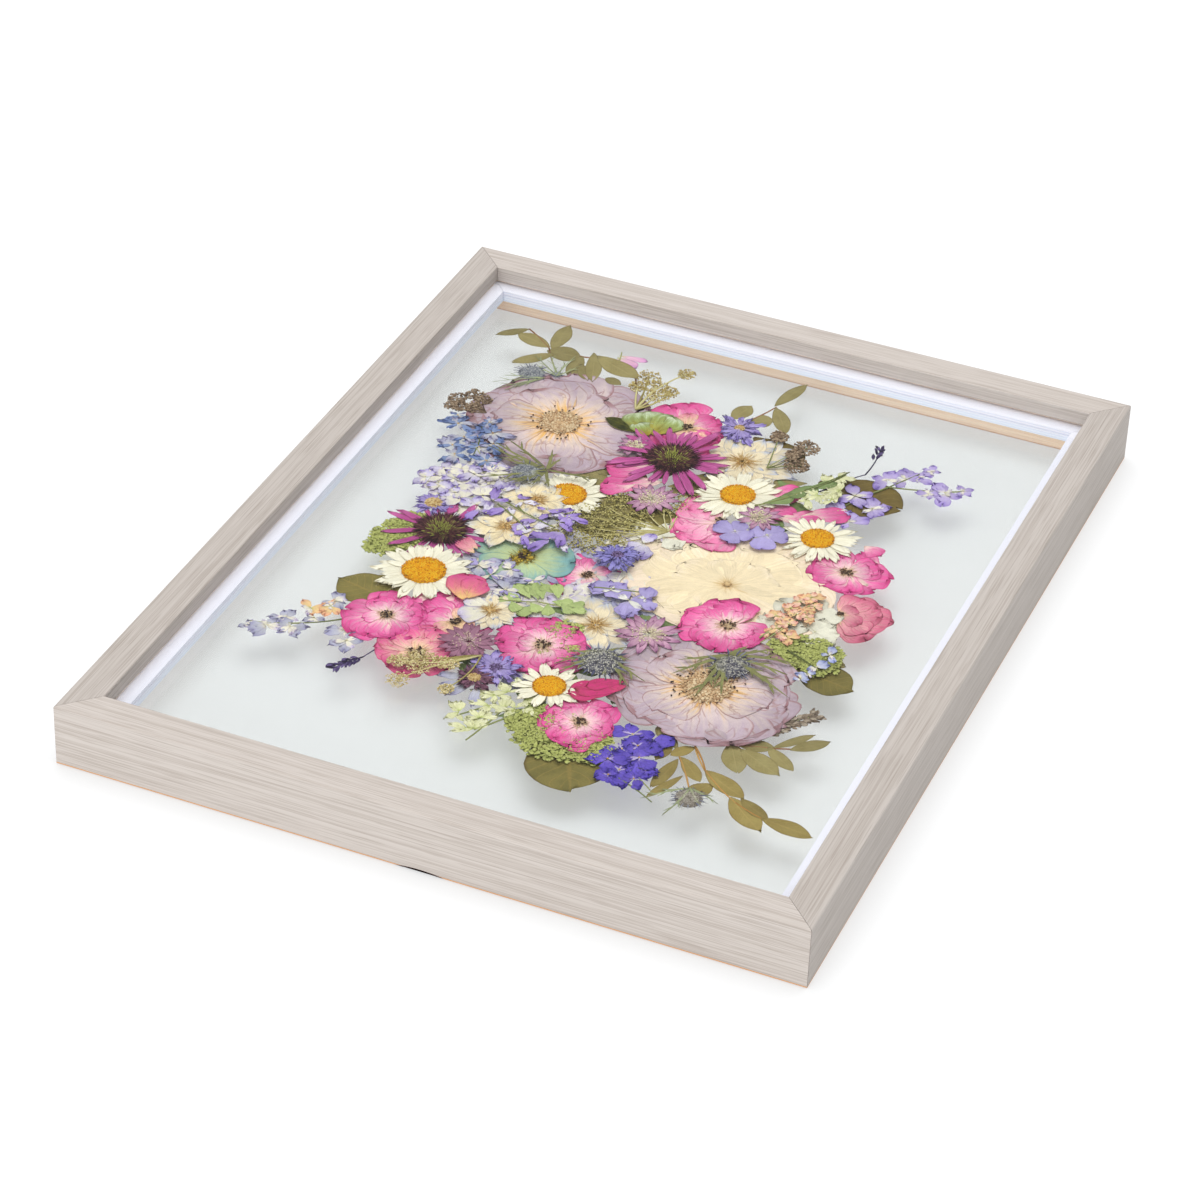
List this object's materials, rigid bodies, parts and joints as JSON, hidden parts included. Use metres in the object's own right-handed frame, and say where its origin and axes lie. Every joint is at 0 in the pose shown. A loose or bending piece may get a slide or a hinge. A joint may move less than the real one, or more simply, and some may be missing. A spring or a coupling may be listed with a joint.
{
  "type": "pressed flower frame",
  "caption": "Deep wooden box frame with a pressed bouquet of roses, daisies, coneflowers and leaves held between clear panes.",
  "frame": {"origin": "middle of the frame's back, in the plane that it rests on", "axes": "+Z from the back up to the face, +Y along the long rails towards the back rail, +X along the short rails"},
  "size_m": [0.378, 0.4794, 0.033],
  "materials": {
    "moulding": "greige wood grain, satin",
    "pane": "clear polished",
    "spacer": "white satin",
    "point": "bare steel",
    "leaf": "pressed olive leaf, matt",
    "spike": "pressed lilac and grey spikes, matt",
    "garden_petal": "pressed pale rose petal, matt",
    "pink_petal": "pressed pink petal, matt",
    "daisy_petal": "pressed ivory petal with golden disc, matt",
    "cone_petal": "pressed magenta petal with dark cone, matt",
    "mist_petal": "pressed cream and blue petal, matt",
    "green_floret": "pressed green florets, matt"
  },
  "bodies": {
    "root": {"rail_front": "moulding", "rail_right": "moulding", "rail_back": "moulding", "rail_left": "moulding", "spacer_front": "spacer", "spacer_right": "spacer", "spacer_back": "spacer", "spacer_left": "spacer", "framers_point_front_1": "point", "framers_point_right_1": "point", "framers_point_right_2": "point", "framers_point_back_1": "point", "framers_point_left_1": "point", "framers_point_left_2": "point", "front_pane": "pane", "back_pane": "pane", "leaf_spray_back": "leaf", "leaf_spray_front_left": "leaf", "leaf_spray_front_middle": "leaf", "leaf_spray_front_right": "leaf", "leaf_twig_right": "leaf", "brown_leaf_back": "leaf", "brown_leaf_right": "leaf", "olive_leaf_left": "leaf", "olive_leaf_front": "leaf", "olive_leaf_right": "leaf", "larkspur_spray_right": "spike", "larkspur_spray_left": "spike", "lavender_sprig_right": "spike", "lavender_sprig_left": "spike", "lavender_sprig_front": "spike", "thistle_head_back": "spike", "thistle_ball_front": "spike", "green_hydrangea_front": "green_floret", "delphinium_violet": "spike", "lace_head_middle": "green_floret", "garden_rose_back": "garden_petal", "garden_rose_white": "garden_petal", "garden_rose_front": "garden_petal", "spray_rose_back": "pink_petal", "spray_rose_side": "pink_petal", "spray_rose_dusty": "pink_petal", "spray_rose_right": "pink_petal", "spray_rose_bud_left": "pink_petal", "spray_rose_peach": "pink_petal", "spray_rose_left": "pink_petal", "spray_rose_middle": "pink_petal", "spray_rose_centre": "pink_petal", "spray_rose_front": "pink_petal", "spray_rose_on_white": "pink_petal", "hellebore": "mist_petal", "nigella_back": "mist_petal", "nigella_middle": "mist_petal", "coneflower_left": "cone_petal", "coneflower_back": "cone_petal", "daisy_middle": "daisy_petal", "daisy_back": "daisy_petal", "daisy_right": "daisy_petal", "daisy_left": "daisy_petal", "daisy_front": "daisy_petal"}
  },
  "joints": []
}
